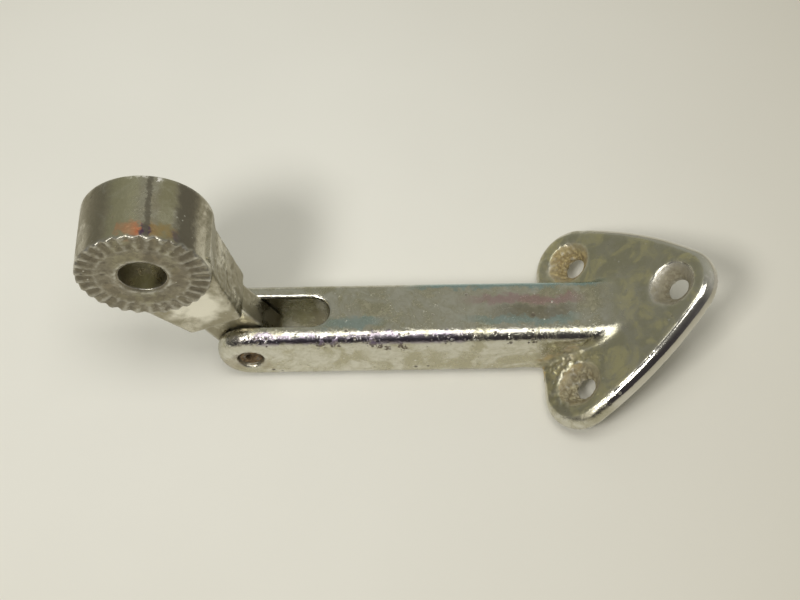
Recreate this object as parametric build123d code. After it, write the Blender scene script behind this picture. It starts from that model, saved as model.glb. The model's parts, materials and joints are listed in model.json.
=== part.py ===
from build123d import *
import os
from math import cos, hypot, radians, sin, tan

# A chromed, die-cast hinged bracket arm, in millimetres.
# The arm lies along X with its fork at -X and its screw foot at +X, and its underside is on Z = 0.
# The hinge axis runs along Y. The model is built about the hinge at X = 0, then moved so that the
# origin is at the middle of the underside of its box.

# Driving dimensions: arm and fork
arm_width = 12.8
arm_height = 12.4
arm_edge_round = 2.4
nose_reach = 6.0  # from the hinge axis to the front of the nose
hinge_height = 6.2  # the hinge axis above the underside
slot_width = 6.1
slot_reach = 14.4  # from the hinge axis to the round end of the slot

# Driving dimensions: foot
foot_pitch = 37.0  # degrees between the arm and the foot's back face
foot_distance = 58.7  # from the hinge axis to the line through the two lobe screws, on the front face
foot_thickness = 3.3
foot_border = 7.5  # from each screw's axis to the edge of the foot
foot_heel = 7.85  # from the lobe screws' line to the foot's straight lower edge
foot_front_round = 1.9
foot_back_round = 0.3
side_bulge = 1.1  # how far each long side of the foot swells past a straight line
lobe_screw_spacing = 26.0
tip_screw_reach = 20.4  # from the lobe screws' line to the tip screw
root_blend_radius = 18.0  # the hollow curve from the arm's top into the foot's front face

# Driving dimensions: screws that hold the foot
screw_shank = 3.9
screw_head = 8.6
screw_clearance = 0.1  # radial
countersink_angle = 90.0

# Driving dimensions: link
link_rest_angle = 60.3  # degrees that the link stands up from straight in line with the arm
link_length = 31.6  # hinge axis to boss axis
boss_diameter = 22.7
boss_length = 13.0
boss_rim_round = 0.7
bolt_diameter = 8.0
bolt_clearance = 0.1  # radial
neck_width = 10.3
neck_start = 10.4  # hinge axis to the top of the neck's shoulder
neck_shoulder_lean = 0.5  # how much further out the bottom of the shoulder is
neck_top = 5.2  # hinge axis line to the neck's upper corner, at the shoulder
neck_bottom = 5.2  # hinge axis line to the neck's lower corner, at the shoulder
neck_edge_round = 0.9
neck_waist = 7.6  # boss axis to the place where the upper flank starts to rise to the boss
neck_waist_top = 9.0
neck_crest = 3.2  # boss axis to the highest point of the upper flank
neck_crest_top = 11.4
neck_lower_slope = 0.26
tongue_top = 5.0
tongue_bottom = 4.7
tongue_end_shift = 1.2  # how far the rounded end's centre lies past the hinge axis

# Driving dimensions: serrations
tooth_count = 30
tooth_depth = 0.5
tooth_inner_radius = 8.2
tooth_flat = 0.2  # the share of each tooth's pitch that stays flat on top

# Driving dimensions: hinge
rivet_diameter = 3.5
rivet_clearance = 0.05  # radial, in the tongue
rivet_interference = 0.01  # radial, in the cheeks
counterbore_diameter = 4.8
counterbore_depth = 1.2
rivet_head_diameter = 4.5
rivet_head_height = 0.8
rivet_roll_diameter = 4.3
rivet_roll_height = 0.6
rivet_hollow_diameter = 1.9
rivet_hollow_depth = 5.0
washer_diameter = 7.2
washer_thickness = 0.26
washer_gap = 0.04  # between each washer and the tongue

# Values that follow from them
half_width = arm_width / 2
half_neck = neck_width / 2
pitch = radians(foot_pitch)
foot_front_height = foot_heel * sin(pitch) + foot_thickness * cos(pitch)
tongue_width = slot_width - 2 * (washer_thickness + washer_gap)
boss_radius = boss_diameter / 2
bore_radius = bolt_diameter / 2 + bolt_clearance
screw_hole_radius = screw_shank / 2 + screw_clearance
countersink_radius = screw_head / 2 + screw_clearance
rivet_radius = rivet_diameter / 2
serrated_face = -boss_length / 2
cut_margin = 1.0  # how far a cutter runs past the face that it opens
root_sink = 0.05  # how far the arm's root runs into the foot's front face, so that the two join

side_view = Plane.XZ  # its normal is -Y
foot_front = Plane(
    origin=(foot_distance, 0, foot_front_height),
    x_dir=(cos(pitch), 0, sin(pitch)),
    z_dir=(-sin(pitch), 0, cos(pitch)),
)


def point_on_foot(along, depth):
    """A side-view point, `along` the foot from the lobe screws and `depth` below its front face."""
    x = foot_distance + along * cos(pitch) + depth * sin(pitch)
    z = foot_front_height + along * sin(pitch) - depth * cos(pitch)
    return (x, z)


def drill(radius, start, end, x=0.0, z=0.0):
    """A cylinder along Y from `start` to `end`, with its axis at `x` and `z`."""
    centre = (start + end) / 2
    return Pos(x, centre, z) * Rot(90, 0, 0) * Cylinder(radius, end - start)


def screw_axes():
    """Where the three screws stand on the foot's front face."""
    half_spacing = lobe_screw_spacing / 2
    return [(0, half_spacing), (0, -half_spacing), (tip_screw_reach, 0)]


def arm_solid():
    """The square arm with its round nose, and the root that curves up into the foot."""
    nose_radius = arm_height / 2
    nose_centre = nose_radius - nose_reach
    corner_x = foot_distance + (arm_height - foot_front_height) / tan(pitch)
    tangent = root_blend_radius * tan(pitch / 2)
    root_reach = (corner_x - foot_distance) / cos(pitch) + tangent
    blend_start = (corner_x - tangent, arm_height)
    blend_end = point_on_foot(root_reach, root_sink)
    blend_middle = (
        corner_x - tangent + root_blend_radius * sin(pitch / 2),
        arm_height + root_blend_radius * (1 - cos(pitch / 2)),
    )
    heel = point_on_foot(-foot_heel, foot_thickness)
    buried_start = point_on_foot(foot_thickness - foot_heel, foot_thickness / 2)
    buried_end = point_on_foot(root_reach, foot_thickness / 2)
    outline = [
        ThreePointArc((nose_centre, arm_height), (-nose_reach, nose_radius), (nose_centre, 0)),
        Line((nose_centre, 0), heel),
        Line(heel, buried_start),
        Line(buried_start, buried_end),
        Line(buried_end, blend_end),
        ThreePointArc(blend_end, blend_middle, blend_start),
        Line(blend_start, (nose_centre, arm_height)),
    ]
    profile = make_face(side_view * Curve(outline))
    arm = extrude(profile, half_width, both=True)
    side_edges = [edge for face in arm.faces().filter_by(Axis.Y) for edge in face.edges()]
    long_edges = [edge for edge in side_edges if foot_front.to_local_coords(edge.position_at(0.5)).Z > 0]
    return fillet(long_edges, arm_edge_round)


def foot_outline():
    """The foot's outline: three round corners about the screws, and two swelling long sides."""
    half_spacing = lobe_screw_spacing / 2
    side_length = hypot(tip_screw_reach, half_spacing)
    swell = (side_length**2 / 4 + side_bulge**2) / (2 * side_bulge)
    side_radius = swell + foot_border
    across = Vector(half_spacing, tip_screw_reach, 0) / side_length
    side_centre = Vector(tip_screw_reach / 2, half_spacing / 2, 0) - across * (swell - side_bulge)
    lobe = Vector(0, half_spacing, 0)
    tip = Vector(tip_screw_reach, 0, 0)
    lobe_end = side_centre + (lobe - side_centre).normalized() * side_radius
    tip_end = side_centre + (tip - side_centre).normalized() * side_radius
    side_middle = side_centre + across * side_radius
    lobe_start = lobe - Vector(foot_heel, 0, 0)
    heel_shift = (foot_border**2 - foot_heel**2) / (2 * (foot_heel + lobe_end.X))
    heel_centre = lobe + Vector(heel_shift, 0, 0)
    between = (lobe_start - heel_centre).normalized() + (lobe_end - heel_centre).normalized()
    lobe_middle = heel_centre + between.normalized() * (foot_heel + heel_shift)
    upper = [
        ThreePointArc(lobe_start, lobe_middle, lobe_end),
        ThreePointArc(lobe_end, side_middle, tip_end),
    ]
    lower = [edge.mirror(Plane.XZ) for edge in upper]
    tip_mirrored = Vector(tip_end.X, -tip_end.Y, 0)
    back = Line(lobe_start, Vector(lobe_start.X, -lobe_start.Y, 0))
    nose = ThreePointArc(tip_end, tip + Vector(foot_border, 0, 0), tip_mirrored)
    return make_face(Curve(upper + lower + [back, nose]))


def foot_solid():
    """The foot plate, with a broad round on its front edge and a fine one on its back edge."""
    plate = extrude(foot_outline(), -foot_thickness)
    front = plate.faces().sort_by(Axis.Z)[-1]
    plate = fillet(front.edges(), foot_front_round)
    back = plate.faces().sort_by(Axis.Z)[0]
    plate = fillet(back.edges(), foot_back_round)
    return foot_front * plate


def screw_cutter():
    """One countersunk screw hole, cut down from the front face."""
    sink_depth = (countersink_radius - screw_hole_radius) / tan(radians(countersink_angle / 2))
    shaft = Pos(0, 0, -foot_thickness / 2) * Cylinder(screw_hole_radius, foot_thickness + 2 * cut_margin)
    flare = cut_margin * tan(radians(countersink_angle / 2))
    cone_height = sink_depth + cut_margin
    cone = Cone(screw_hole_radius, countersink_radius + flare, cone_height)
    return shaft + Pos(0, 0, cut_margin - cone_height / 2) * cone


def bracket_casting():
    """The fork, arm and foot, cast in one piece."""
    body = arm_solid() + foot_solid()
    slot_round = slot_reach - slot_width / 2
    slot_start = -nose_reach - cut_margin
    slot_height = arm_height + 2 * cut_margin
    slot_length = slot_round - slot_start
    slot = Pos((slot_start + slot_round) / 2, 0, arm_height / 2) * Box(slot_length, slot_width, slot_height)
    slot += Pos(slot_round, 0, arm_height / 2) * Cylinder(slot_width / 2, slot_height)
    body -= slot
    outside = half_width + cut_margin
    seat = half_width - counterbore_depth
    body -= drill(rivet_radius - rivet_interference, -outside, outside, 0, hinge_height)
    body -= drill(counterbore_diameter / 2, -outside, -seat, 0, hinge_height)
    body -= drill(counterbore_diameter / 2, seat, outside, 0, hinge_height)
    for along, across in screw_axes():
        body -= foot_front * Pos(along, across, 0) * screw_cutter()
    return body


def neck_solid():
    """The flaring neck between the tongue and the boss, straight along -X from the hinge."""
    waist = link_length - neck_waist
    crest = link_length - neck_crest
    shoulder = neck_start + neck_shoulder_lean
    waist_bottom = neck_bottom + neck_lower_slope * (waist - shoulder)
    corners = [
        (-shoulder, -neck_bottom),
        (-waist, -waist_bottom),
        (-link_length, 0),
        (-link_length, boss_radius - neck_edge_round / 2),
        (-crest, neck_crest_top),
        (-waist, neck_waist_top),
        (-neck_start, neck_top),
    ]
    profile = make_face(side_view * Polyline(*corners, close=True))
    neck = extrude(profile, half_neck, both=True)
    side_edges = [edge for face in neck.faces().filter_by(Axis.Y) for edge in face.edges()]
    boss_axis = Vector(-link_length, 0, 0)
    open_edges = []
    for edge in side_edges:
        middle = edge.position_at(0.5)
        middle = Vector(middle.X, 0, middle.Z)
        if (middle - boss_axis).length > boss_radius:
            open_edges.append(edge)
    return fillet(open_edges, neck_edge_round)


def tongue_solid():
    """The flat tongue with its rounded end, which turns in the fork."""
    end_radius = (tongue_top + tongue_bottom) / 2
    end_height = (tongue_top - tongue_bottom) / 2
    root = -(neck_start + neck_shoulder_lean + neck_edge_round + cut_margin)
    end = tongue_end_shift
    outline = [
        Line((root, -tongue_bottom), (end, -tongue_bottom)),
        ThreePointArc((end, -tongue_bottom), (end + end_radius, end_height), (end, tongue_top)),
        Line((end, tongue_top), (root, tongue_top)),
        Line((root, tongue_top), (root, -tongue_bottom)),
    ]
    return extrude(make_face(side_view * Curve(outline)), tongue_width / 2, both=True)


def tooth_gap():
    """One radial groove of the serrated face, growing in width and depth towards the rim."""
    half_gap = (1 - tooth_flat) * tan(radians(180 / tooth_count))
    sections = []
    for radius in (tooth_inner_radius, boss_radius + cut_margin):
        depth = tooth_depth * radius / boss_radius
        rise = cut_margin * half_gap * radius / depth
        triangle = Polyline(
            (radius, serrated_face - cut_margin, -half_gap * radius - rise),
            (radius, serrated_face + depth, 0),
            (radius, serrated_face - cut_margin, half_gap * radius + rise),
            close=True,
        )
        sections.append(make_face(triangle))
    return loft(sections, ruled=True)


def boss_solid():
    """The round boss about its own axis, with a serrated near face and a bolt hole."""
    far_face = serrated_face + boss_length
    boss = drill(boss_radius, serrated_face, far_face)
    boss = fillet(boss.faces().sort_by(Axis.Y)[-1].edges(), boss_rim_round)
    groove = tooth_gap()
    gaps = [Rot(0, index * 360 / tooth_count, 0) * groove for index in range(tooth_count)]
    return boss - gaps


def link_casting():
    """The tongue, neck and boss, cast in one piece and turned to the rest angle."""
    boss_place = Pos(-link_length, 0, 0)
    body = tongue_solid() + neck_solid() + boss_place * boss_solid()
    outside = boss_length / 2 + cut_margin
    body -= boss_place * drill(bore_radius, -outside, outside)
    body -= drill(rivet_radius + rivet_clearance, -half_width, half_width)
    return Pos(0, 0, hinge_height) * Rot(0, link_rest_angle, 0) * body


def hinge_rivet():
    """The hollow-ended rivet: a factory head in the far counterbore and a rolled end in the near one."""
    seat = half_width - counterbore_depth
    shank = drill(rivet_radius, -seat, seat)
    head = drill(rivet_head_diameter / 2, seat, seat + rivet_head_height)
    head = fillet(head.faces().sort_by(Axis.Y)[-1].edges(), rivet_head_height / 2)
    roll_end = -seat - rivet_roll_height
    roll = drill(rivet_roll_diameter / 2, roll_end, -seat)
    roll = fillet(roll.faces().sort_by(Axis.Y)[0].edges(), rivet_roll_height / 2)
    hollow = drill(rivet_hollow_diameter / 2, roll_end - cut_margin, roll_end + rivet_hollow_depth)
    return Pos(0, 0, hinge_height) * (shank + head + roll - hollow)


def friction_washer(side):
    """A thin washer against one cheek: `side` is -1 for the near cheek and 1 for the far one."""
    cheek = side * slot_width / 2
    inner = cheek - side * washer_thickness
    start = min(cheek, inner)
    end = max(cheek, inner)
    ring = drill(washer_diameter / 2, start, end) - drill(rivet_radius + 2 * rivet_clearance, start, end)
    return Pos(0, 0, hinge_height) * ring


def main():
    """Build each piece about the hinge, move them all to the part's origin and write them."""
    pieces = {
        "bracket_casting": bracket_casting(),
        "link_casting": link_casting(),
        "hinge_rivet": hinge_rivet(),
        "friction_washer_near": friction_washer(-1),
        "friction_washer_far": friction_washer(1),
    }
    box = Compound(list(pieces.values())).bounding_box()
    to_origin = Pos(-box.center().X, -box.center().Y, -box.min.Z)
    os.makedirs("parts", exist_ok=True)
    for name, piece in pieces.items():
        export_step(to_origin * piece, f"parts/{name}.step")
    report_places(to_origin)


def report_places(to_origin):
    """Print the hinge's and the mounts' places, for the record."""
    rest = radians(link_rest_angle)
    boss_x = -link_length * cos(rest)
    boss_z = hinge_height + link_length * sin(rest)
    places = {
        "hinge": Vector(0, 0, hinge_height),
        "boss face": Vector(boss_x, serrated_face, boss_z),
        "boss middle": Vector(boss_x, serrated_face + boss_length / 2, boss_z),
        "foot back": foot_front.from_local_coords(Vector(tip_screw_reach / 3, 0, -foot_thickness)),
    }
    land = foot_thickness - (countersink_radius - screw_hole_radius) / tan(radians(countersink_angle / 2))
    for along, across in screw_axes():
        hole = Vector(along, across, land / 2 - foot_thickness)
        places[f"screw at {along}, {across}"] = foot_front.from_local_coords(hole)
    for name, place in places.items():
        x, y, z = to_origin.position + place
        print(f"{name}: {x:.3f} {y:.3f} {z:.3f}")
    print(f"screw hole wall {land:.3f} long")


main()
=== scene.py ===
"""Looks of a hinged bracket arm: two worn chrome castings, a rusty rivet and two thin washers.

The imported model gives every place. Sizes are in metres unless a name says otherwise.
"""

import json
import logging
import math
from dataclasses import dataclass, field
from enum import Enum
from typing import Callable

import bmesh
import bpy
from mathutils import Matrix, Vector, noise

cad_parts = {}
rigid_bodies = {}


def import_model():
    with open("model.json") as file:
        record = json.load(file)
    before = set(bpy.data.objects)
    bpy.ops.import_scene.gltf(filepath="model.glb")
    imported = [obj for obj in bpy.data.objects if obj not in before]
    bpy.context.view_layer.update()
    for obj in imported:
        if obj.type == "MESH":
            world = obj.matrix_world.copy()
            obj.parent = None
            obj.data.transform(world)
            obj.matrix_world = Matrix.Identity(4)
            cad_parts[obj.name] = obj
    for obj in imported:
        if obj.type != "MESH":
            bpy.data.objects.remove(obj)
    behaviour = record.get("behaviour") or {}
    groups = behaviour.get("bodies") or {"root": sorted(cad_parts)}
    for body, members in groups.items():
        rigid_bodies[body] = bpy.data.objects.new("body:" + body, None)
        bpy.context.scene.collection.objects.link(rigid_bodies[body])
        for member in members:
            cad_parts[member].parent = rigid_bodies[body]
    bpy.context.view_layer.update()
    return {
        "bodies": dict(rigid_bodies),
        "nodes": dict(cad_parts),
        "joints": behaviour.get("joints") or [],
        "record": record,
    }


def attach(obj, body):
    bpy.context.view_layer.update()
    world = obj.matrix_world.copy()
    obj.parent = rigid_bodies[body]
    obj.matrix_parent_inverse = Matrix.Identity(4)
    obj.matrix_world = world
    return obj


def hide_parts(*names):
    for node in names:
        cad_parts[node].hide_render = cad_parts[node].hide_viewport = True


MM = 0.001
LOG = logging.getLogger("bracket_arm")

Colour = tuple[float, float, float]
Place = tuple[float, float, float]
Socket = bpy.types.NodeSocket
Value = Socket | float
Paint = Socket | Colour

# How a skin is merged, and how its worn and grimy places are found.
MERGE_DISTANCE = 0.002 * MM
MARK_PASSES = 2
MARK_GAIN = 14.0
MARK_FLOOR = 0.12

# A stain's solid core and the noise on its edge, as shares of its radius.
SPOT_CORE = 0.35
SPOT_NOISE = 0.6
SPOT_REACH = 4.0


class Attribute(Enum):
    """Per-vertex values that a skin carries for its finish."""

    EDGE = "edge_wear"
    HOLLOW = "hollow_grime"


class Piece(Enum):
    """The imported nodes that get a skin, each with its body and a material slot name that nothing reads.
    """

    BRACKET = ("bracket_casting", "bracket", "bracket_chrome")
    LINK = ("link_casting", "link", "link_chrome")
    RIVET = ("hinge_rivet", "bracket", "rivet_steel")

    def __init__(self, node: str, body: str, slot: str) -> None:
        """Keep the names of the node, of its body and of its slot."""
        self.node, self.body, self.slot = node, body, slot


class Grain(Enum):
    """Noise patterns: feature size, octaves, how strong the fine octaves are, and twist."""

    CLOUD = (7 * MM, 5.0, 0.65, 0.6)
    MOTTLE = (1.9 * MM, 5.0, 0.7, 0.8)
    PLATE = (0.42 * MM, 3.0, 0.7)
    WAVE = (2.6 * MM, 3.0, 0.6)
    GRIME_EDGE = (2.2 * MM, 4.0, 0.6)
    PIT_CROWD = (5.5 * MM, 3.0, 0.6)
    RUST_SCALE = (0.5 * MM, 5.0, 0.65)
    RUST_PATCH = (1.3 * MM, 4.0, 0.6, 0.5)
    TABLE_CLOUD = (60 * MM, 3.0, 0.5)
    TABLE_TOOTH = (0.8 * MM,)
    BAND_EDGE = (2.8 * MM, 5.0, 0.7)
    FILM_EDGE = (4 * MM, 4.0, 0.6)
    FILM_RELIEF = (1.1 * MM, 5.0, 0.7)
    YELLOWING = (5 * MM, 5.0, 0.65, 1.0)
    CRUMB = (0.9 * MM, 5.0, 0.75)
    EDGE_WEAR = (3.4 * MM, 3.0, 0.6)
    STREAK_EDGE = (1.8 * MM, 4.0, 0.7)
    FACE_DIRT = (1.4 * MM, 4.0, 0.7)


class Mix(Enum):
    """What a Mix node mixes: its data type, its two inputs and its output."""

    NUMBER = ("FLOAT", 2, 3, 0)
    COLOUR = ("RGBA", 6, 7, 2)


def mm(x: float, y: float, z: float) -> Vector:
    """A place given in millimetres, in metres."""
    return Vector((x, y, z)) * MM


def add_object(name: str, data: bpy.types.ID) -> bpy.types.Object:
    """Stand a new object in the scene.

    Args:
        name: Its name.
        data: Its mesh, light or camera.

    Returns:
        The object.
    """
    made = bpy.data.objects.new(name, data)
    bpy.context.scene.collection.objects.link(made)
    return made


def add_mesh(name: str, work: bmesh.types.BMesh) -> bpy.types.Object:
    """Turn a finished bmesh into an object, and free it.

    Args:
        name: The name of the object and its mesh.
        work: The bmesh.

    Returns:
        The object.
    """
    mesh = bpy.data.meshes.new(name)
    work.to_mesh(mesh)
    work.free()
    return add_object(name, mesh)


# ---- finishes


@dataclass
class Surface:
    """What a finish is built up in: colour, roughness, metal and height."""

    colour: Paint
    roughness: Value
    metallic: Value
    height: Socket


class Graph:
    """A material's node tree, with short calls for the nodes that the finishes use."""

    def __init__(self, name: str) -> None:
        """Start an empty material.

        Args:
            name: The material's name.
        """
        self.material = bpy.data.materials.new(name)
        self.material.use_nodes = True
        self.nodes = self.material.node_tree.nodes
        self.links = self.material.node_tree.links
        self.nodes.clear()
        self.output = self.nodes.new("ShaderNodeOutputMaterial")
        self.shader = self.nodes.new("ShaderNodeBsdfPrincipled")
        self.links.new(self.shader.outputs["BSDF"], self.output.inputs["Surface"])
        self.place = self.nodes.new("ShaderNodeTexCoord").outputs["Object"]

    def feed(self, socket: Socket, value: "Value | tuple") -> None:
        """Link or set an input.

        Args:
            socket: The input.
            value: A socket to link, or a constant to set.
        """
        if isinstance(value, bpy.types.NodeSocket):
            self.links.new(value, socket)
        elif isinstance(value, (tuple, Vector)) and socket.type == "RGBA":
            socket.default_value = (*value, 1.0)
        else:
            socket.default_value = value

    def math(self, operation: str, first: Value, second: Value = 0.0) -> Socket:
        """One arithmetic step.

        Args:
            operation: The node's operation name.
            first: The first operand.
            second: The second operand.

        Returns:
            The result's socket.
        """
        node = self.nodes.new("ShaderNodeMath")
        node.operation = operation
        self.feed(node.inputs[0], first)
        self.feed(node.inputs[1], second)
        return node.outputs[0]

    def product(self, *factors: Value) -> Socket:
        """Several values multiplied together.

        Args:
            factors: Two or more values.

        Returns:
            The product's socket.
        """
        result = factors[0]
        for factor in factors[1:]:
            result = self.math("MULTIPLY", result, factor)
        return result

    def vector(
        self, operation: str, first: Socket, second: "Vector | Place", output: str = "Value"
    ) -> Socket:
        """One vector step against a constant.

        Args:
            operation: The node's operation name.
            first: The vector operand.
            second: The constant operand.
            output: "Value" for a number or "Vector" for a vector.

        Returns:
            The result's socket.
        """
        node = self.nodes.new("ShaderNodeVectorMath")
        node.operation = operation
        self.links.new(first, node.inputs[0])
        node.inputs[1].default_value = second
        return node.outputs[output]

    def axes(self) -> tuple[Socket, Socket, Socket]:
        """Split the piece's own place.

        Returns:
            The sockets of its x, y and z.
        """
        node = self.nodes.new("ShaderNodeSeparateXYZ")
        self.links.new(self.place, node.inputs[0])
        return node.outputs["X"], node.outputs["Y"], node.outputs["Z"]

    def span(
        self, value: Socket, low: float, high: float, start: float = 0.0, end: float = 1.0
    ) -> Socket:
        """A smooth step of a value from one range to another.

        Args:
            value: The value to map.
            low: The value that maps to `start`.
            high: The value that maps to `end`.
            start: The result at `low`.
            end: The result at `high`.

        Returns:
            The mapped value's socket.
        """
        node = self.nodes.new("ShaderNodeMapRange")
        node.interpolation_type = "SMOOTHSTEP"
        limits = {"From Min": low, "From Max": high, "To Min": start, "To Max": end}
        for name, number in limits.items():
            node.inputs[name].default_value = number
        self.feed(node.inputs["Value"], value)
        return node.outputs["Result"]

    def noise(
        self, feature: float, detail: float = 3.0, rough: float = 0.5, twist: float = 0.0
    ) -> Socket:
        """Fractal noise on the piece's own place.

        Args:
            feature: The size of its largest features.
            detail: How many finer octaves it has.
            rough: How strong the finer octaves are.
            twist: How far it distorts itself.

        Returns:
            The noise value's socket, about 0.3 to 0.7.
        """
        node = self.nodes.new("ShaderNodeTexNoise")
        self.links.new(self.place, node.inputs["Vector"])
        node.inputs["Scale"].default_value = 1.0 / feature
        node.inputs["Detail"].default_value = detail
        node.inputs["Roughness"].default_value = rough
        node.inputs["Distortion"].default_value = twist
        return node.outputs["Fac"]

    def grain(self, kind: Grain) -> Socket:
        """One of the named noise patterns."""
        return self.noise(*kind.value)

    def wander(self, pattern: tuple[float, ...], reach: float) -> Socket:
        """Noise about zero, which moves an edge to and fro.

        Args:
            pattern: The noise, as `noise` takes it.
            reach: The span of its whole range.

        Returns:
            The moving distance's socket.
        """
        return self.product(self.math("SUBTRACT", self.noise(*pattern), 0.5), reach)

    def cells(self, feature: float) -> Socket:
        """The distance to the nearest of many scattered points.

        Args:
            feature: The spacing of the points.

        Returns:
            The distance's socket, 0 at a point.
        """
        node = self.nodes.new("ShaderNodeTexVoronoi")
        node.inputs["Scale"].default_value = 1.0 / feature
        self.links.new(self.place, node.inputs["Vector"])
        return node.outputs["Distance"]

    def attribute(self, kind: Attribute) -> Socket:
        """A per-vertex value of the piece.

        Args:
            kind: Which value.

        Returns:
            The value's socket.
        """
        node = self.nodes.new("ShaderNodeAttribute")
        node.attribute_name = kind.value
        return node.outputs["Fac"]

    def blend(
        self, mask: Value, under: "Value | Colour", over: "Value | Colour", kind: Mix = Mix.NUMBER
    ) -> Socket:
        """Two numbers, or two colours, mixed by a mask.

        Args:
            mask: 0 for `under`, 1 for `over`.
            under: What lies beneath.
            over: What lies above.
            kind: Whether they are numbers or colours.

        Returns:
            The mixture's socket.
        """
        data_type, first, second, result = kind.value
        node = self.nodes.new("ShaderNodeMix")
        node.data_type = data_type
        self.feed(node.inputs["Factor"], mask)
        self.feed(node.inputs[first], under)
        self.feed(node.inputs[second], over)
        return node.outputs[result]

    def blend_colour(self, mask: Value, under: Paint, over: Paint) -> Socket:
        """Two colours mixed by a mask."""
        return self.blend(mask, under, over, Mix.COLOUR)

    def spot(self, centre: Vector, radius: float, ragged: float = 0.5) -> Socket:
        """A soft, ragged round mask about a place.

        Args:
            centre: The place.
            radius: Where the mask reaches 0.
            ragged: How far noise moves its edge, as a share of the radius.

        Returns:
            The mask's socket.
        """
        edge = self.wander((radius * SPOT_NOISE,), radius * ragged * SPOT_REACH)
        distance = self.vector("DISTANCE", self.place, centre)
        return self.span(self.math("ADD", distance, edge), radius, radius * SPOT_CORE)

    def finish(self, surface: Surface, specular: float = 0.5) -> bpy.types.Material:
        """Join the surface to the shader.

        Args:
            surface: The finished layers.
            specular: The shader's specular level.

        Returns:
            The material.
        """
        bump = self.nodes.new("ShaderNodeBump")
        bump.inputs["Distance"].default_value = MM
        self.links.new(surface.height, bump.inputs["Height"])
        values = {
            "Base Color": surface.colour,
            "Roughness": surface.roughness,
            "Metallic": surface.metallic,
            "Specular IOR Level": specular,
            "Normal": bump.outputs["Normal"],
        }
        for name, value in values.items():
            self.feed(self.shader.inputs[name], value)
        return self.material


@dataclass(frozen=True)
class Coat:
    """What a layer puts on the surface: its colour, roughness, metal and height in millimetres."""

    colour: Colour
    roughness: float
    metallic: float = 1.0
    height: float = 0.0

    def over(self, graph: Graph, surface: Surface, mask: Socket) -> Surface:
        """Lay the coat over a surface.

        Args:
            graph: The material's graph.
            surface: The surface beneath.
            mask: Where the coat lies.

        Returns:
            The surface with the coat on it.
        """
        return Surface(
            colour=graph.blend_colour(mask, surface.colour, self.colour),
            roughness=graph.blend(mask, surface.roughness, self.roughness),
            metallic=graph.blend(mask, surface.metallic, self.metallic),
            height=graph.math("ADD", surface.height, graph.product(mask, self.height)),
        )


@dataclass(frozen=True)
class Stain:
    """A patch of one coat about a place, in millimetres."""

    x: float
    y: float
    z: float
    radius: float
    coat: Coat
    strength: float = 1.0
    ragged: float = 0.5


# A bright bare coat: real chips, and a painted highlight along the boss's far rim.
CHIP_AND_HIGHLIGHT = Coat((0.90, 0.88, 0.84), 0.45, 0.0, -0.04)
PALE_PLATE = Coat((0.86, 0.83, 0.72), 0.30)
PIT = Coat((0.13, 0.11, 0.08), 0.65, 0.5, -0.04)
BLISTER = Coat((0.72, 0.71, 0.64), 0.22, 1.0, 0.03)
GRIME = Coat((0.12, 0.10, 0.065), 0.7, 0.2, 0.01)
OCHRE_CRUST = Coat((0.50, 0.38, 0.17), 0.85, 0.1, 0.06)
PALE_CRUST = Coat((0.62, 0.57, 0.43), 0.8, 0.1, 0.08)
RUST = Coat((0.10, 0.065, 0.035), 0.85, 0.1, 0.04)
ORANGE_TINT = Coat((0.90, 0.24, 0.10), 0.35)
ORANGE_FILM = Coat((0.50, 0.30, 0.10), 0.35)
PURPLE_TINT = Coat((0.12, 0.08, 0.17), 0.3)
# The indigo, teal and pink coats are painted reflections on the arm's top and near round.
INDIGO_REFLECTION = Coat((0.20, 0.15, 0.30), 0.2)
TEAL_REFLECTION = Coat((0.30, 0.48, 0.52), 0.22)
PINK_REFLECTION = Coat((0.46, 0.25, 0.29), 0.3)
BROWN_FILM = Coat((0.34, 0.28, 0.18), 0.45)
# A real olive film in the stains, and also a painted reflection band on the boss's side.
OLIVE_FILM_AND_REFLECTION = Coat((0.42, 0.40, 0.22), 0.36)
# A painted dark reflection, laid in bands on the arm's top and on the boss's side.
PAINTED_DARK_REFLECTION = Coat((0.20, 0.18, 0.14), 0.4)
FOOT_FILM = Coat((0.39, 0.375, 0.26), 0.40, 0.9)
YELLOW_FILM = Coat((0.56, 0.52, 0.29), 0.46, 0.85, 0.02)
FACE_DIRT = Coat((0.22, 0.195, 0.14), 0.5, 0.8, 0.02)
WEAK_YELLOW = Coat((0.56, 0.51, 0.29), 0.45)
ROOT_DIRT = Coat((0.17, 0.125, 0.07), 0.7, 0.3)
# A painted pale reflection band on the boss's side.
PALE_REFLECTION = Coat((0.58, 0.56, 0.36), 0.34)


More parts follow.
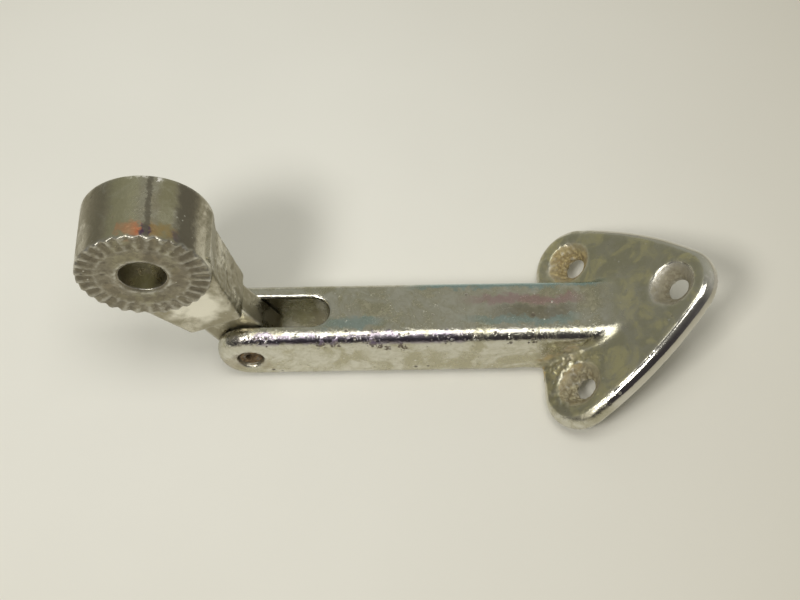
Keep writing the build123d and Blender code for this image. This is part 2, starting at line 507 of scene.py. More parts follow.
@dataclass(frozen=True)
class CastChrome:
    """Worn chrome plate on a zinc casting.

    Fields give the plate's clean and dull colours, its roughness when bright and when dull, how much of it
    is dull, how thick the pits lie, the stains that it carries (some painted highlights), the casting's own
    wear with painted reflections, and the heights in millimetres of the plate's waves and of its grit.
    """

    name: str
    clean: Colour
    dull: Colour
    bright_roughness: float
    dull_roughness: float
    dull_share: float
    pit_amount: float
    stains: tuple[Stain, ...]
    wear: Callable[[Graph, Surface], Surface]
    wave_height: float = 0.10
    grit_heights: tuple[float, float] = (0.012, 0.05)
    grime_strength: float = 0.75
    pit_strength: float = 0.85

    def build(self) -> bpy.types.Material:
        """Make the material.

        Returns:
            The finished material.
        """
        graph = Graph(self.name)
        mottle, grain = graph.grain(Grain.MOTTLE), graph.grain(Grain.PLATE)
        start, end = (edge - self.dull_share * 0.3 for edge in (0.60, 0.76))
        film = graph.span(graph.grain(Grain.CLOUD), start, end)
        colour = graph.blend_colour(film, self.clean, self.dull)
        colour = graph.blend_colour(graph.span(mottle, 0.38, 0.66, 0.0, 0.6), colour, self.dull)
        roughness = graph.blend(film, self.bright_roughness, self.dull_roughness)
        roughness = graph.math("ADD", roughness, graph.span(grain, 0.3, 0.8, -0.03, 0.12))
        roughness = graph.math("ADD", roughness, graph.span(mottle, 0.4, 0.7, -0.02, 0.12))
        wave = graph.product(graph.grain(Grain.WAVE), self.wave_height)
        grit = graph.product(grain, graph.span(mottle, 0.35, 0.65, *self.grit_heights))
        surface = Surface(colour, roughness, 1.0, graph.math("ADD", wave, grit))
        return graph.finish(self.pitted(graph, self.stained(graph, surface)))

    def stained(self, graph: Graph, surface: Surface) -> Surface:
        """Lay the stains (some are painted highlights), the casting's own wear and painted reflections, the
        hollows' grime and the edges' wear.

        Args:
            graph: The material's graph.
            surface: The plain plate.

        Returns:
            The stained plate.
        """
        for stain in self.stains:
            mask = graph.spot(mm(stain.x, stain.y, stain.z), stain.radius * MM, stain.ragged)
            if stain.strength < 1.0:
                mask = graph.product(mask, stain.strength)
            surface = stain.coat.over(graph, surface, mask)
        # The casting's own wear includes painted reflection bands: on the bracket's arm and on the link's
        # boss.
        surface = self.wear(graph, surface)
        patchy = graph.span(graph.grain(Grain.GRIME_EDGE), 0.35, 0.62)
        hollow = graph.product(graph.attribute(Attribute.HOLLOW), patchy, self.grime_strength)
        surface = GRIME.over(graph, surface, hollow)
        worn = graph.span(patchy, 0.0, 1.0, 0.15, 0.6)
        return BLISTER.over(graph, surface, graph.product(graph.attribute(Attribute.EDGE), worn))

    def pitted(self, graph: Graph, surface: Surface) -> Surface:
        """Scatter pits and blisters.

        Args:
            graph: The material's graph.
            surface: The stained plate.

        Returns:
            The pitted plate.
        """
        crowd = graph.span(graph.grain(Grain.PIT_CROWD), 0.45, 0.70, 0.02, 0.26 * self.pit_amount)
        for spacing, share, coat in ((1.1 * MM, 0.9, BLISTER), (2.4 * MM, 0.8, PIT)):
            near = graph.math("SUBTRACT", graph.product(crowd, share), graph.cells(spacing))
            mask = graph.product(graph.span(near, -0.05, 0.10), self.pit_strength)
            surface = coat.over(graph, surface, mask)
        return surface


@dataclass(frozen=True)
class RustySteel:
    """Plain steel under a crust of rust: `rust` is how much of it is covered."""

    name: str
    steel: Colour
    rust: float
    worn_steel: Colour = (0.34, 0.31, 0.27)
    dark_rust: Colour = (0.065, 0.042, 0.022)
    pale_rust: Colour = (0.24, 0.155, 0.07)

    def build(self) -> bpy.types.Material:
        """Make the material.

        Returns:
            The finished material.
        """
        graph = Graph(self.name)
        scale, patch = graph.grain(Grain.RUST_SCALE), graph.grain(Grain.RUST_PATCH)
        cover = graph.span(patch, 0.75 - self.rust * 0.5, 0.85 - self.rust * 0.4)
        colour = graph.blend_colour(graph.span(scale, 0.35, 0.7), self.steel, self.worn_steel)
        rust = graph.blend_colour(graph.span(scale, 0.35, 0.65), self.dark_rust, self.pale_rust)
        surface = Surface(
            colour=graph.blend_colour(cover, colour, rust),
            roughness=graph.blend(cover, 0.38, 0.86),
            metallic=graph.blend(cover, 1.0, 0.15),
            height=graph.product(scale, graph.blend(cover, 0.01, 0.07)),
        )
        return graph.finish(surface)


@dataclass(frozen=True)
class PaleTable:
    """The plain pale floor under the part, with a painted pool of light that darkens away from one place.
    """

    name: str = "pale_table"
    colour: Colour = (0.88, 0.87, 0.80)
    shade: Colour = (0.855, 0.845, 0.775)
    # A painted pool of light: bright about one place, fading to a painted shade further off.
    painted_shade_colour: Colour = (0.66, 0.63, 0.54)
    painted_light_centre: Place = (-0.045, 0.035, 0.0)
    painted_light_falloff: tuple[float, float] = (0.02, 0.20)
    tooth_height: float = 0.01
    specular: float = 0.25

    def build(self) -> bpy.types.Material:
        """Make the material.

        Returns:
            The finished material.
        """
        graph = Graph(self.name)
        cloud = graph.grain(Grain.TABLE_CLOUD)
        # Painted light: the colour darkens with distance from the painted pool of light.
        far = graph.span(graph.vector("DISTANCE", graph.place, self.painted_light_centre), *self.painted_light_falloff)
        pale = graph.blend_colour(graph.span(cloud, 0.35, 0.65), self.colour, self.shade)
        surface = Surface(
            colour=graph.blend_colour(far, pale, self.painted_shade_colour),
            roughness=graph.span(cloud, 0.3, 0.7, 0.5, 0.6),
            metallic=0.0,
            height=graph.product(graph.grain(Grain.TABLE_TOOTH), self.tooth_height),
        )
        return graph.finish(surface, self.specular)


# ---- skins


@dataclass(frozen=True)
class Lumps:
    """Fractal relief: lumps to the metre, how smooth they are, their octaves, and each octave's scale."""

    per_metre: float
    smooth: float
    octaves: int
    lacunarity: float = 2.1

    def at(self, place: Vector) -> float:
        """The relief at a place, about -1 to 1."""
        return noise.fractal(place * self.per_metre, self.smooth, self.lacunarity, self.octaves)


def even_out(work: bmesh.types.BMesh, verts: "list | bmesh.types.BMVertSeq", passes: int) -> None:
    """Smooth some points towards their neighbours.

    Args:
        work: The mesh to change.
        verts: The points to move.
        passes: How many times.
    """
    for _ in range(passes):
        bmesh.ops.smooth_vert(
            work, verts=verts, factor=0.5, use_axis_x=True, use_axis_y=True, use_axis_z=True
        )


@dataclass
class Skin:
    """A piece's outer shape, softened as a cast and plated piece is, with worn and grimy places marked.

    Fields are the piece, the spacing of the new mesh, and how many passes even it out.
    """

    piece: Piece
    spacing: float
    passes: int = 4

    def source(self) -> bpy.types.Object:
        """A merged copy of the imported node.

        Returns:
            The copy, as a new object.
        """
        packed = bpy.data.objects[self.piece.node]
        work = bmesh.new()
        work.from_mesh(packed.data)
        bmesh.ops.remove_doubles(work, verts=work.verts, dist=MERGE_DISTANCE)
        return add_mesh(f"{self.piece.node}_merged", work)

    def remeshed(self) -> bmesh.types.BMesh:
        """The copy on an even grid of small faces.

        Returns:
            The even mesh, as a bmesh.
        """
        copy = self.source()
        grid = copy.modifiers.new("even_grid", "REMESH")
        grid.mode = "VOXEL"
        grid.voxel_size = self.spacing
        evaluated = copy.evaluated_get(bpy.context.evaluated_depsgraph_get())
        even = bmesh.new()
        even.from_mesh(evaluated.to_mesh())
        evaluated.to_mesh_clear()
        bpy.data.objects.remove(copy)
        return even

    def weather(self, work: bmesh.types.BMesh) -> None:
        """Change the shape where the real one has worn or grown. A plain skin changes nothing.

        Args:
            work: The mesh to change.
        """

    def mark(self, work: bmesh.types.BMesh) -> None:
        """Store how far each point stands out of, or lies in from, the points about it.

        Args:
            work: The mesh to mark.
        """
        edge_layer = work.verts.layers.float.new(Attribute.EDGE.value)
        hollow_layer = work.verts.layers.float.new(Attribute.HOLLOW.value)
        work.normal_update()
        for vert in work.verts:
            around = [link.other_vert(vert).co for link in vert.link_edges]
            middle = sum(around, Vector()) / len(around)
            bend = (vert.co - middle).dot(vert.normal) / self.spacing
            vert[edge_layer] = bend
            vert[hollow_layer] = -bend
        for layer in (edge_layer, hollow_layer):
            for _ in range(MARK_PASSES):
                self.spread(work, layer)
            for vert in work.verts:
                vert[layer] = min(1.0, max(0.0, vert[layer] * MARK_GAIN - MARK_FLOOR))

    def spread(self, work: bmesh.types.BMesh, layer: bmesh.types.BMLayerItem) -> None:
        """Average a stored value with the values about each point.

        Args:
            work: The mesh that stores it.
            layer: The value's layer.
        """
        means = [
            (vert[layer] + sum(link.other_vert(vert)[layer] for link in vert.link_edges))
            / (1 + len(vert.link_edges))
            for vert in work.verts
        ]
        for vert, mean in zip(work.verts, means):
            vert[layer] = mean

    def build(self, material: bpy.types.Material) -> bpy.types.Object:
        """Make the skin and put it in its node's place.

        Args:
            material: Its finish.

        Returns:
            The finished piece.
        """
        work = self.remeshed()
        even_out(work, work.verts, self.passes)
        self.weather(work)
        self.mark(work)
        for face in work.faces:
            face.smooth = True
        skin = add_mesh(f"{self.piece.node}_skin", work)
        skin.data.materials.append(material)
        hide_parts(self.piece.node)
        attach(skin, self.piece.body)
        LOG.info("%s: %d faces", skin.name, len(skin.data.polygons))
        return skin


@dataclass
class BracketSkin(Skin):
    """The bracket's skin, with soft creases beside the arm and crust on the foot's lobes.

    The creases run beside the arm within `crease_reach`, and over the arm's top at its root. Each crust is
    a place, a radius and a height.
    """

    arm_half_width: float = 6.4 * MM
    crease_reach: float = 1.9 * MM
    crease_passes: int = 40
    root_along: float = 13.2 * MM
    root_reach: float = 4 * MM
    root_half_width: float = 7.5 * MM
    root_depth: float = 1.2 * MM
    foot: "FootFrame | None" = None
    crust: tuple[tuple[Vector, float, float], ...] = ()
    lumps: Lumps = Lumps(1100.0, 0.8, 4)
    lump_rise: float = 0.25

    def weather(self, work: bmesh.types.BMesh) -> None:
        """Round the creases, then raise the crust.

        Args:
            work: The mesh to change.
        """
        crease = [vert for vert in work.verts if self.in_crease(vert.co)]
        even_out(work, crease, self.crease_passes)
        work.normal_update()
        for vert in work.verts:
            rise = self.crust_rise(vert.co)
            if rise:
                vert.co += vert.normal * rise

    def crust_rise(self, place: Vector) -> float:
        """Add up the crusts.

        Args:
            place: A place on the skin.

        Returns:
            How high the crust stands there.
        """
        rise = 0.0
        for centre, radius, height in self.crust:
            away = (place - centre).length / radius
            if away < 1.0:
                rise += height * (1.0 - away) * max(0.0, self.lumps.at(place) + self.lump_rise)
        return rise

    def in_crease(self, place: Vector) -> bool:
        """Look for the line where the arm meets the foot's front face.

        Args:
            place: A place on the skin.

        Returns:
            Whether it lies by that line.
        """
        along, across, depth = self.foot.local(place)
        beside = math.hypot(abs(across) - self.arm_half_width, depth)
        side = beside < self.crease_reach and along < self.root_along
        over = abs(across) < self.root_half_width and abs(depth) < self.root_depth
        return side or (over and abs(along - self.root_along) < self.root_reach)


@dataclass
class LinkSkin(Skin):
    """The link's skin, with a dished ring on the serrated face and a rough flank on the neck.

    The dish lies between its two radii. The bore's lip is rounded by `lip_drop` over `lip_width`, from
    `lip_lead` inside its radius. The flank is a place, a radius and a depth.
    """

    boss: Vector = field(default_factory=Vector)
    dish: tuple[float, float] = (4.9 * MM, 8.1 * MM)
    dish_depth: float = 0.24 * MM
    dish_sharpness: float = 1.5
    lip_radius: float = 4.05 * MM
    lip_reach: float = 0.5 * MM
    lip_lead: float = 0.1 * MM
    lip_width: float = 0.6 * MM
    lip_drop: float = 0.35 * MM
    face_depth: float = 1.0 * MM
    facing: float = 0.5
    flank_facing: float = 0.2
    chip: float = 0.14 * MM
    chip_lumps: Lumps = Lumps(800.0, 0.9, 3)
    flank: tuple[Vector, float, float] = (Vector((-0.0325, 0.0, 0.0255)), 9.0 * MM, 0.55 * MM)
    flank_lumps: Lumps = Lumps(420.0, 0.9, 4)

    def weather(self, work: bmesh.types.BMesh) -> None:
        """Wear the serrated face and roughen the flank.

        Args:
            work: The mesh to change.
        """
        work.normal_update()
        centre, radius, height = self.flank
        front = min(vert.co.y for vert in work.verts)
        for vert in work.verts:
            if vert.normal.y < -self.facing and vert.co.y < front + self.face_depth:
                self.wear_face(vert)
            away = (vert.co - centre).length / radius
            if away < 1.0 and vert.normal.x > self.flank_facing:
                depth = height * (1.0 - away) * abs(self.flank_lumps.at(vert.co))
                vert.co -= vert.normal * depth

    def wear_face(self, vert: bmesh.types.BMVert) -> None:
        """Chip a point of the serrated face, and sink it in the dished ring or on the bore's lip.

        Args:
            vert: The point to move.
        """
        from_axis = math.hypot(vert.co.x - self.boss.x, vert.co.z - self.boss.z)
        inner, outer = self.dish
        vert.co.y += self.chip * max(0.0, self.chip_lumps.at(vert.co))
        if inner < from_axis < outer:
            share = (from_axis - inner) / (outer - inner)
            vert.co.y += self.dish_depth * math.sin(math.pi * share) ** self.dish_sharpness
        elif from_axis < self.lip_radius + self.lip_reach:
            past = (from_axis - self.lip_radius + self.lip_lead) / self.lip_width
            vert.co.y += self.lip_drop * (1.0 - past)


@dataclass(frozen=True)
class FootFrame:
    """The foot's front face: its middle between the lobe screws, and its along and outward directions."""

    origin: Vector
    along: Vector
    outward: Vector

    def local(self, place: Vector) -> tuple[float, float, float]:
        """A place as distances along, across and out of the face."""
        offset = place - self.origin
        return offset.dot(self.along), offset.y, offset.dot(self.outward)


# ---- sub-assemblies


@dataclass
class Record:
    """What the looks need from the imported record: its mounts, by name."""

    frame: dict

    def mount(self, name: str) -> tuple[Vector, Vector]:
        """Find a mount.

        Args:
            name: The mount's name.

        Returns:
            Its place and its axis.
        """
        for mount in self.frame["record"]["mounts"]:
            if mount["name"] == name:
                return Vector(mount["pos_m"]), Vector(mount["axis"])
        raise KeyError(name)


@dataclass
class BracketCasting:
    """The forked arm and its screw foot."""

    record: Record
    spacing: float = 0.27 * MM
    foot_thickness: float = 3.3 * MM
    foot_starts: tuple[float, float] = (34 * MM, 39 * MM)
    foot_plate: Coat = Coat((0.70, 0.68, 0.63), 0.09)
    crusted_holes: tuple[tuple[str, float, Coat, Coat], ...] = (
        ("near", 7.5 * MM, Coat((0.20, 0.165, 0.09), 0.8, 0.3), Coat((0.50, 0.45, 0.29), 0.7, 0.2, 0.08)),
        ("far", 7.5 * MM, Coat((0.26, 0.19, 0.08), 0.8, 0.3), Coat((0.56, 0.46, 0.23), 0.7, 0.2, 0.08)),
        ("tip", 6.6 * MM, Coat((0.20, 0.17, 0.10), 0.75, 0.4), Coat((0.34, 0.31, 0.22), 0.7, 0.4, 0.04)),
    )
    # Painted reflections: coloured and dark bands on the arm's top and near round.
    painted_reflections: tuple[tuple[float, float, float, float, float, Coat], ...] = (
        (5.6, 1.6, -2.0, 38.0, 0.75, TEAL_REFLECTION),
        (1.8, 1.6, 8.0, 34.0, 0.55, PINK_REFLECTION),
        (-0.8, 1.8, 12.0, 33.0, 0.65, PAINTED_DARK_REFLECTION),
        (-2.6, 1.2, 8.0, 33.0, 0.5, TEAL_REFLECTION),
        (-2.6, 1.6, -20.0, -2.0, 0.5, TEAL_REFLECTION),
        (-5.6, 1.1, -34.0, 14.0, 0.6, INDIGO_REFLECTION),
    )
    rust_specks: tuple[tuple[float, float, float, float], ...] = (
        (-4.4, -6.35, 10.3, 0.75),
        (-3.1, -6.35, 9.7, 0.75),
        (-0.7, -6.35, 10.3, 0.75),
        (-0.2, -6.35, 9.6, 0.75),
        (-14.9, -6.2, 10.9, 0.9),
        (-12.6, -6.2, 10.9, 0.9),
        (-5.9, -6.2, 10.9, 0.9),
    )
    crust: tuple[tuple[Vector, float, float], ...] = (
        (mm(29.9, 14.6, 5.2), 5.4 * MM, 0.42 * MM),
        (mm(29.7, -8.1, 6.5), 4.6 * MM, 0.42 * MM),
        (mm(25.8, -7.6, 3.3), 3.6 * MM, 0.36 * MM),
        (mm(30.0, -13.0, 5.0), 5.4 * MM, 0.42 * MM),
        (mm(47.5, -0.8, 16.0), 4.8 * MM, 0.22 * MM),
    )

    def foot_frame(self) -> FootFrame:
        """Find the foot's front face.

        Returns:
            The face's frame, from the mounts of its holes and its back.
        """
        near, outward = self.record.mount("screw_hole_near")
        back, _ = self.record.mount("foot_back")
        depth = (near - back).dot(outward)
        origin = Vector((near.x, 0.0, near.z)) + outward * (self.foot_thickness - depth)
        along = Vector((outward.z, 0.0, -outward.x))
        return FootFrame(origin, along, outward)

    def finish(self) -> CastChrome:
        """Choose the plate and its stains.

        Returns:
            The bracket's finish.
        """
        stains = (
            Stain(29.7, 15.5, 5.3, 4.8, OCHRE_CRUST, 0.8),
            Stain(27.5, 12.0, 4.0, 3.5, PALE_CRUST, 0.6),
            Stain(29.7, -8.1, 6.5, 4.2, OCHRE_CRUST, 0.85),
            Stain(26.6, -8.2, 4.4, 3.4, OCHRE_CRUST, 1.0, 0.3),
            Stain(44.0, 9.0, 17.0, 7.0, WEAK_YELLOW, 0.6),
            Stain(-27.92, -5.9, 6.2, 3.1, ROOT_DIRT, 0.95, 0.4),
            Stain(30.0, -13.0, 5.2, 4.2, OCHRE_CRUST, 0.7),
            Stain(46.8, -2.0, 16.0, 3.4, BROWN_FILM, 0.7),
            Stain(48.8, 0.0, 15.5, 4.4, OLIVE_FILM_AND_REFLECTION, 0.6),
            Stain(54.3, -1.3, 22.3, 2.2, RUST, 0.6),
            Stain(32.5, 14.5, 5.0, 4.0, OLIVE_FILM_AND_REFLECTION, 0.6),
            Stain(-18.5, 3.4, 8.0, 6.0, OLIVE_FILM_AND_REFLECTION, 0.5),
            Stain(-15.0, 1.0, 6.0, 4.0, BROWN_FILM, 0.35),
            Stain(-30.6, -6.4, 4.6, 3.0, BROWN_FILM, 0.45),
            Stain(-26.0, -6.4, 5.0, 2.6, BROWN_FILM, 0.45),
            *(Stain(x, y, z, size, RUST, 0.9, 0.9) for x, y, z, size in self.rust_specks),
        )
        return CastChrome(
            name="bracket_worn_chrome",
            clean=(0.66, 0.645, 0.565),
            dull=(0.47, 0.445, 0.325),
            bright_roughness=0.10,
            dull_roughness=0.26,
            dull_share=0.55,
            pit_amount=1.0,
            stains=stains,
            wear=self.wear,
        )

    def wear(self, graph: Graph, surface: Surface) -> Surface:
        """Lay the bracket's own wear, and painted reflections on its arm, over its stains.

        Args:
            graph: The material's graph.
            surface: The stained plate.

        Returns:
            The worn plate.
        """
        foot = self.foot_frame()
        offset = graph.vector("SUBTRACT", graph.place, foot.origin, "Vector")
        depth = graph.vector("DOT_PRODUCT", offset, foot.outward)
        along = graph.vector("DOT_PRODUCT", offset, foot.along)
        surface = self.smooth_foot(graph, surface)
        surface = self.foot_film(graph, surface, depth, along)
        surface = self.hole_crusts(graph, surface, depth)
        # Painted reflections on the arm's top and near round.
        surface = self.arm_reflections(graph, surface)
        return self.edge_pits(graph, surface)

    def smooth_foot(self, graph: Graph, surface: Surface) -> Surface:
        """Make the foot's plate smoother and paler than the arm's.

        Args:
            graph: The material's graph.
            surface: The surface so far.

        Returns:
            The surface with a smooth foot.
        """
        x, _, _ = graph.axes()
        calm = graph.span(x, *self.foot_starts)
        plate = self.foot_plate
        return Surface(
            colour=graph.blend_colour(graph.product(calm, 0.7), surface.colour, plate.colour),
            roughness=graph.blend(calm, surface.roughness, plate.roughness),
            metallic=surface.metallic,
            height=graph.product(surface.height, graph.span(calm, 0.0, 1.0, 1.0, 0.12)),
        )

    def foot_film(self, graph: Graph, surface: Surface, depth: Socket, along: Socket) -> Surface:
        """Dull and yellow the foot's front face.

        Args:
            graph: The material's graph.
            surface: The surface so far.
            depth: The distance out of the face.
            along: The distance up the face.

        Returns:
            The surface with the film on it.
        """
        front = graph.span(depth, -0.20 * MM, -0.07 * MM)
        below = graph.span(depth, 1.6 * MM, 0.5 * MM)
        past = graph.span(along, -9 * MM, -7 * MM)
        ragged = graph.span(graph.grain(Grain.FILM_EDGE), 0.3, 0.6, 0.55, 0.95)
        mask = graph.product(front, below, past, ragged)
        surface = FOOT_FILM.over(graph, surface, mask)
        relief = graph.product(graph.grain(Grain.FILM_RELIEF), 0.07, mask)
        surface.height = graph.math("ADD", surface.height, relief)
        yellow = graph.span(graph.grain(Grain.YELLOWING), 0.44, 0.60)
        return YELLOW_FILM.over(graph, surface, graph.product(mask, 0.75, yellow))

    def hole_crusts(self, graph: Graph, surface: Surface, depth: Socket) -> Surface:
        """Fill the countersinks with dark dirt and paler crumbs.

        Args:
            graph: The material's graph.
            surface: The surface so far.
            depth: The distance out of the foot's front face.

        Returns:
            The surface with the crusts in its holes.
        """
        sunk = graph.span(depth, 0.0, -0.35 * MM)
        crumb = graph.span(graph.grain(Grain.CRUMB), 0.42, 0.60)
        for name, radius, dark, light in self.crusted_holes:
            hole, _ = self.record.mount(f"screw_hole_{name}")
            around = graph.product(graph.spot(hole, radius, 0.25), sunk)
            surface = dark.over(graph, surface, graph.product(around, 0.9))
            surface = light.over(graph, surface, graph.product(around, crumb))
        return surface

    def arm_reflections(self, graph: Graph, surface: Surface) -> Surface:
        """Paint bands of reflection along the arm's top and its near round: painted reflections of coloured
        and dark surroundings.

        Each band has its middle across the arm, its half width, where it starts and ends along the arm, its
        strength and its coat.

        Args:
            graph: The material's graph.
            surface: The surface so far.

        Returns:
            The tinted surface.
        """
        x, y, z = graph.axes()
        across = graph.math("ADD", y, graph.wander(Grain.BAND_EDGE.value, 5 * MM))
        top = graph.span(z, 10.4 * MM, 11.2 * MM)
        # Each band is a painted reflection.
        for middle, half, start, end, strength, coat in self.painted_reflections:
            offset = graph.math("ABSOLUTE", graph.math("SUBTRACT", across, middle * MM))
            band = graph.span(offset, half * MM, half * 0.3 * MM)
            begun = graph.span(x, start * MM, (start + 9) * MM)
            unended = graph.span(x, end * MM, (end - 5) * MM)
            mask = graph.product(band, begun, unended, top, strength)
            surface = coat.over(graph, surface, mask)
        return surface

    def edge_pits(self, graph: Graph, surface: Surface) -> Surface:
        """Crowd pits and blisters along the arm's near top edge.

        Args:
            graph: The material's graph.
            surface: The surface so far.

        Returns:
            The pitted surface.
        """
        x, y, z = graph.axes()
        near = graph.span(y, -4.2 * MM, -5.0 * MM)
        arm = graph.span(x, 32 * MM, 27 * MM)
        high = graph.span(z, 9.3 * MM, 10.4 * MM)
        edge = graph.product(near, arm, high)
        worn = graph.span(graph.grain(Grain.EDGE_WEAR), 0.42, 0.64, 0.04, 0.36)
        for spacing, coat in ((0.62 * MM, BLISTER), (0.9 * MM, PIT)):
            close = graph.math("SUBTRACT", worn, graph.cells(spacing))
            mask = graph.product(edge, graph.span(close, -0.06, 0.10))
            surface = coat.over(graph, surface, mask)
        return surface

    def build(self) -> bpy.types.Object:
        """Make the casting.

        Returns:
            The finished piece.
        """
        skin = BracketSkin(Piece.BRACKET, self.spacing, foot=self.foot_frame(), crust=self.crust)
        return skin.build(self.finish().build())


@dataclass
class LinkCasting:
    """The tongue, neck and serrated boss."""

    record: Record
    spacing: float = 0.22 * MM
    passes: int = 3
    # Chips, and a painted highlight strip along the boss's far rim.
    chips_and_highlight: tuple[tuple[float, float, float, float], ...] = (
        (-45.0, 6.2, 44.9, 0.8),
        (-43.6, 6.3, 45.0, 0.8),
        (-42.4, 6.2, 44.9, 0.6),
        (-40.0, 5.7, 44.4, 0.7),
    )
    # Painted reflections: light and dark bands down the boss's upper side.
    reflection_bands: tuple[tuple[float, float, float, Coat], ...] = (
        (-45.6, 3.4, 0.55, PALE_REFLECTION),
        (-50.5, 2.0, 0.20, PAINTED_DARK_REFLECTION),
        (-41.5, 0.7, 0.85, PAINTED_DARK_REFLECTION),
        (-38.6, 1.6, 0.35, OLIVE_FILM_AND_REFLECTION),
        (-35.6, 2.0, 0.95, PAINTED_DARK_REFLECTION),
    )

    def finish(self) -> CastChrome:
        """Choose the duller plate and its stains, with a painted highlight on the boss's far rim.

        Returns:
            The link's finish.
        """
        stains = (
            Stain(-43.8, -4.7, 45.0, 2.2, ORANGE_TINT, 0.85),
            Stain(-45.6, -4.4, 45.0, 1.6, ORANGE_TINT, 0.7),
            Stain(-40.2, -4.6, 44.6, 2.2, ORANGE_FILM, 0.6),
            Stain(-37.9, -4.6, 43.6, 2.0, ORANGE_FILM, 0.6),
            Stain(-41.6, -4.7, 44.8, 1.3, PURPLE_TINT, 0.9),
            Stain(-36.7, -5.2, 42.6, 1.8, PURPLE_TINT, 0.6),
            Stain(-29.2, 3.5, 20.2, 3.0, PALE_CRUST, 0.5),
            Stain(-30.5, 1.0, 22.5, 3.5, PALE_CRUST, 0.4),
            Stain(-38.6, -6.4, 33.6, 3.2, BROWN_FILM, 0.7),
            Stain(-48.0, -6.4, 31.0, 3.5, BROWN_FILM, 0.6),
            Stain(-43.6, -6.4, 39.0, 4.0, BROWN_FILM, 0.5),
            Stain(-43.6, -6.4, 28.0, 4.5, OLIVE_FILM_AND_REFLECTION, 0.6),
            Stain(-36.5, -5.2, 22.5, 6.5, PALE_PLATE, 0.95),
            # Chips and a painted highlight on the boss's far rim.
            *(Stain(x, y, z, size, CHIP_AND_HIGHLIGHT, 0.9, 0.7) for x, y, z, size in self.chips_and_highlight),
        )
        return CastChrome(
            name="link_worn_chrome",
            clean=(0.60, 0.57, 0.47),
            dull=(0.36, 0.33, 0.24),
            bright_roughness=0.18,
            dull_roughness=0.40,
            dull_share=0.7,
            pit_amount=0.8,
            stains=stains,
            wear=self.wear,
        )

    def wear(self, graph: Graph, surface: Surface) -> Surface:
        """Paint reflection bands along the boss's upper side, and dull its serrated face.

        Each painted reflection band has its middle along x, its half width, its strength and its coat.

        Args:
            graph: The material's graph.
            surface: The stained plate.

        Returns:
            The worn plate.
        """
        x, y, z = graph.axes()
        boss, _ = self.record.mount("boss_bolt_hole")
        upper = graph.span(z, boss.z - 1 * MM, boss.z + 3 * MM)
        # Each band is a painted reflection on the boss's upper side.
        for middle, half, strength, coat in self.reflection_bands:
            wander = graph.wander(Grain.STREAK_EDGE.value, 2.4 * MM)
            offset = graph.math("ADD", graph.math("SUBTRACT", x, middle * MM), wander)
            band = graph.span(graph.math("ABSOLUTE", offset), half * MM, half * 0.4 * MM)
            surface = coat.over(graph, surface, graph.product(band, upper, strength))
        face = graph.span(y, -5.7 * MM, -6.1 * MM)
        patch = graph.span(graph.grain(Grain.FACE_DIRT), 0.35, 0.6, 0.55, 0.95)
        return FACE_DIRT.over(graph, surface, graph.product(face, patch))

    def build(self) -> bpy.types.Object:
        """Make the casting.

        Returns:
            The finished piece.
        """
        axis, _ = self.record.mount("boss_bolt_hole")
        skin = LinkSkin(Piece.LINK, self.spacing, self.passes, boss=axis)
        return skin.build(self.finish().build())


@dataclass
class RivetSkin(Skin):
    """The rivet's skin, with both ends eaten by rust."""

    bite: float = 0.05 * MM
    end_length: float = 1.0 * MM
    bites: Lumps = Lumps(2500.0, 0.9, 3, 2.0)

    def weather(self, work: bmesh.types.BMesh) -> None:
        """Sink small pits into the rivet's ends.

        Args:
            work: The mesh to change.
        """
        work.normal_update()
        end = max(abs(vert.co.y) for vert in work.verts) - self.end_length
        for vert in work.verts:
            if abs(vert.co.y) > end:
                vert.co -= vert.normal * self.bite * abs(self.bites.at(vert.co))


@dataclass
class HingeHardware:
    """The hollow rivet that the link turns on, and the two thin washers beside the tongue."""

    spacing: float = 0.09 * MM
    passes: int = 2
    washers: tuple[str, str] = ("friction_washer_near", "friction_washer_far")

    def build(self) -> list[bpy.types.Object]:
        """Make the rivet, and dress it and the washers.

        Returns:
            The pieces.
        """
        rust = RustySteel("rivet_rust", (0.16, 0.135, 0.10), 0.9).build()
        pieces = [RivetSkin(Piece.RIVET, self.spacing, self.passes).build(rust)]
        steel = RustySteel("washer_steel_worn", (0.42, 0.40, 0.37), 0.35).build()
        for name in self.washers:
            washer = bpy.data.objects[name]
            washer.data.materials.clear()
            washer.data.materials.append(steel)
            pieces.append(washer)
        return pieces


# ---- studio


@dataclass(frozen=True)
class SoftBox:
    """A soft area light: where it stands, what it aims at, its sides, power and colour."""

    name: str
    place: Place
    aim: Place
    sides: tuple[float, float]
    power: float
    colour: Colour = (1.0, 0.985, 0.95)

    def build(self) -> bpy.types.Object:
        """Hang the light.

        Returns:
            The light.
        """
        lamp = bpy.data.lights.new(self.name, "AREA")
        lamp.shape = "RECTANGLE"
        lamp.size, lamp.size_y = self.sides
        lamp.energy = self.power
        lamp.color = self.colour
        light = add_object(self.name, lamp)
        light.location = self.place
        toward = Vector(self.aim) - Vector(self.place)
        light.rotation_euler = toward.to_track_quat("-Z", "Y").to_euler()
        return light


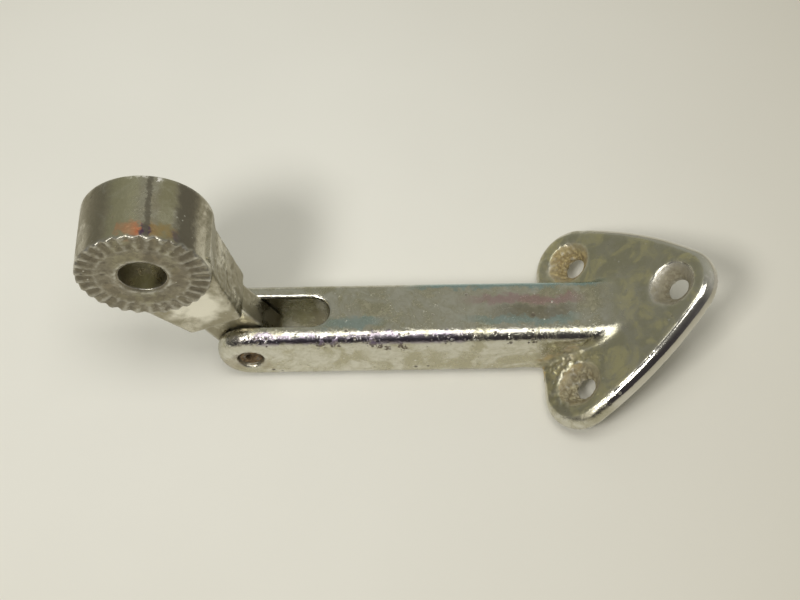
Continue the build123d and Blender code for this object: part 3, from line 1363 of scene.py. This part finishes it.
@dataclass(frozen=True)
class StudioCamera:
    """The camera, by its angles in degrees, its distance and the point it looks at."""

    elevation: float = 57.006
    azimuth: float = -0.509
    roll: float = -0.532
    distance: float = 289.19 * MM
    target: Place = (-0.716 * MM, 6.688 * MM, 5.238 * MM)
    lens: float = 69.96
    sensor: float = 36.0
    nearest: float = 0.01

    def build(self) -> bpy.types.Object:
        """Set the camera up.

        Returns:
            The camera.
        """
        elevation, azimuth, roll = map(math.radians, (self.elevation, self.azimuth, self.roll))
        flat = math.cos(elevation)
        forward = Vector((-math.sin(azimuth) * flat, math.cos(azimuth) * flat, -math.sin(elevation)))
        level = Vector((math.cos(azimuth), math.sin(azimuth), 0.0))
        above = level.cross(forward)
        right = level * math.cos(roll) + above * math.sin(roll)
        upward = above * math.cos(roll) - level * math.sin(roll)
        data = bpy.data.cameras.new("studio_camera")
        data.lens = self.lens
        data.sensor_width = self.sensor
        data.clip_start = self.nearest
        camera = add_object("studio_camera", data)
        turn = Matrix((right, upward, -forward)).transposed().to_4x4()
        camera.matrix_world = Matrix.Translation(Vector(self.target) - forward * self.distance) @ turn
        bpy.context.scene.camera = camera
        return camera


@dataclass
class Studio:
    """The floor, the lights, the room's glow and the camera."""

    floor_side: float = 4.0
    lights: tuple[SoftBox, ...] = (
        SoftBox("window_light", (-0.37, -0.50, 0.75), (0.0, 0.0, 0.0), (0.22, 0.18), 4.2),
        SoftBox("ceiling_light", (0.0, -0.08, 0.62), (0.0, -0.08, 0.0), (0.36, 0.28), 1.15),
    )
    front_glow: tuple[float, Colour] = (0.10, (0.05, 0.045, 0.05))
    middle_glow: tuple[float, Colour] = (0.45, (0.26, 0.255, 0.235))
    back_glow: tuple[float, Colour] = (0.80, (0.40, 0.40, 0.345))
    depth_ramp: tuple[float, float] = (0.5, 0.5)
    side_ramp: tuple[float, float] = (0.30, 0.95)

    def floor(self) -> bpy.types.Object:
        """Lay the floor.

        Returns:
            The floor.
        """
        sheet = bmesh.new()
        bmesh.ops.create_grid(sheet, x_segments=2, y_segments=2, size=self.floor_side / 2)
        floor = add_mesh("floor", sheet)
        floor.data.materials.append(PaleTable().build())
        return floor

    def room(self) -> None:
        """Give the room a dim glow, darker in front and brighter to the right."""
        world = bpy.data.worlds.new("room")
        bpy.context.scene.world = world
        world.use_nodes = True
        nodes, links = world.node_tree.nodes, world.node_tree.links
        nodes.clear()
        output = nodes.new("ShaderNodeOutputWorld")
        glow = nodes.new("ShaderNodeBackground")
        links.new(glow.outputs[0], output.inputs["Surface"])
        place = nodes.new("ShaderNodeTexCoord")
        split = nodes.new("ShaderNodeSeparateXYZ")
        links.new(place.outputs["Generated"], split.inputs[0])
        ramp = nodes.new("ShaderNodeValToRGB")
        stops = ramp.color_ramp.elements
        for stop, (position, colour) in zip(stops, (self.front_glow, self.back_glow)):
            stop.position, stop.color = position, (*colour, 1.0)
        position, colour = self.middle_glow
        stops.new(position).color = (*colour, 1.0)
        links.new(ramp.outputs[0], glow.inputs["Color"])
        steps = (("Y", self.depth_ramp, ramp.inputs[0]), ("X", self.side_ramp, glow.inputs["Strength"]))
        for axis, (factor, addend), target in steps:
            lean = nodes.new("ShaderNodeMath")
            lean.operation = "MULTIPLY_ADD"
            links.new(split.outputs[axis], lean.inputs[0])
            lean.inputs[1].default_value = factor
            lean.inputs[2].default_value = addend
            links.new(lean.outputs[0], target)

    def build(self) -> None:
        """Set everything up."""
        self.floor()
        self.room()
        for light in self.lights:
            light.build()
        StudioCamera().build()
        bpy.context.scene.view_settings.view_transform = "Standard"
        LOG.info("studio: %d lights", len(self.lights))


def main() -> None:
    """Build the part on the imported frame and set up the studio."""
    logging.basicConfig(level=logging.INFO, format="%(name)s %(message)s")
    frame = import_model()
    record = Record(frame)
    BracketCasting(record).build()
    LinkCasting(record).build()
    HingeHardware().build()
    Studio().build()


if __name__ == "__main__":
    main()
